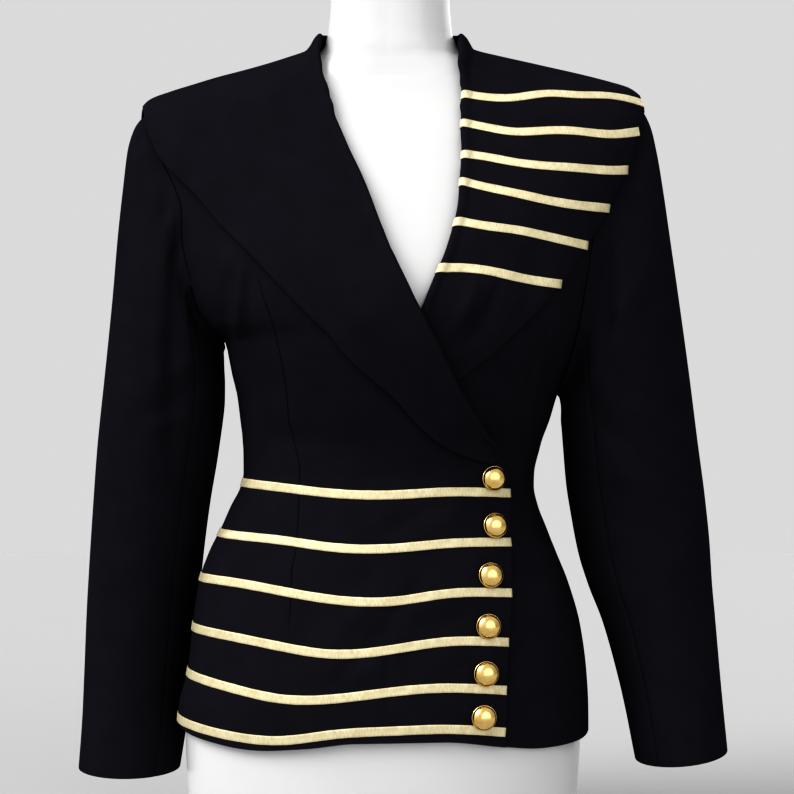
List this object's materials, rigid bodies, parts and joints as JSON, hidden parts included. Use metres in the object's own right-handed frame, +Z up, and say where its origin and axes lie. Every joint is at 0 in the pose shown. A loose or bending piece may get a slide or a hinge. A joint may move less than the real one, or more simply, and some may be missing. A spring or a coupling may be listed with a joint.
{
  "type": "military-style blazer on a dress form",
  "caption": "Fitted double-breasted wool blazer with a wide shawl collar, gold braid stripes and domed metal buttons, worn by a glossy torso form.",
  "frame": {"origin": "middle of the dress form's flat base", "axes": "+Z up, the front of the jacket faces -Y, the wearer's left is +X"},
  "size_m": [0.5737, 0.2562, 0.763],
  "materials": {
    "black wool cloth": "fine matte wool weave",
    "gold braid": "metallic gold thread braid",
    "gold metal": "polished gold plate",
    "white form": "white gloss"
  },
  "bodies": {
    "root": {"right_front": "black wool cloth", "left_front": "black wool cloth", "right_back": "black wool cloth", "left_back": "black wool cloth", "right_top_sleeve": "black wool cloth", "right_under_sleeve": "black wool cloth", "left_top_sleeve": "black wool cloth", "left_under_sleeve": "black wool cloth", "right_collar": "black wool cloth", "left_collar": "black wool cloth", "hip_braid_1": "gold braid", "hip_braid_2": "gold braid", "hip_braid_3": "gold braid", "hip_braid_4": "gold braid", "hip_braid_5": "gold braid", "hip_braid_6": "gold braid", "collar_braid_1": "gold braid", "collar_braid_2": "gold braid", "collar_braid_3": "gold braid", "collar_braid_4": "gold braid", "collar_braid_5": "gold braid", "collar_braid_6": "gold braid", "button_1": "gold metal", "button_2": "gold metal", "button_3": "gold metal", "button_4": "gold metal", "button_5": "gold metal", "button_6": "gold metal", "dress_form": "white form"}
  },
  "joints": []
}
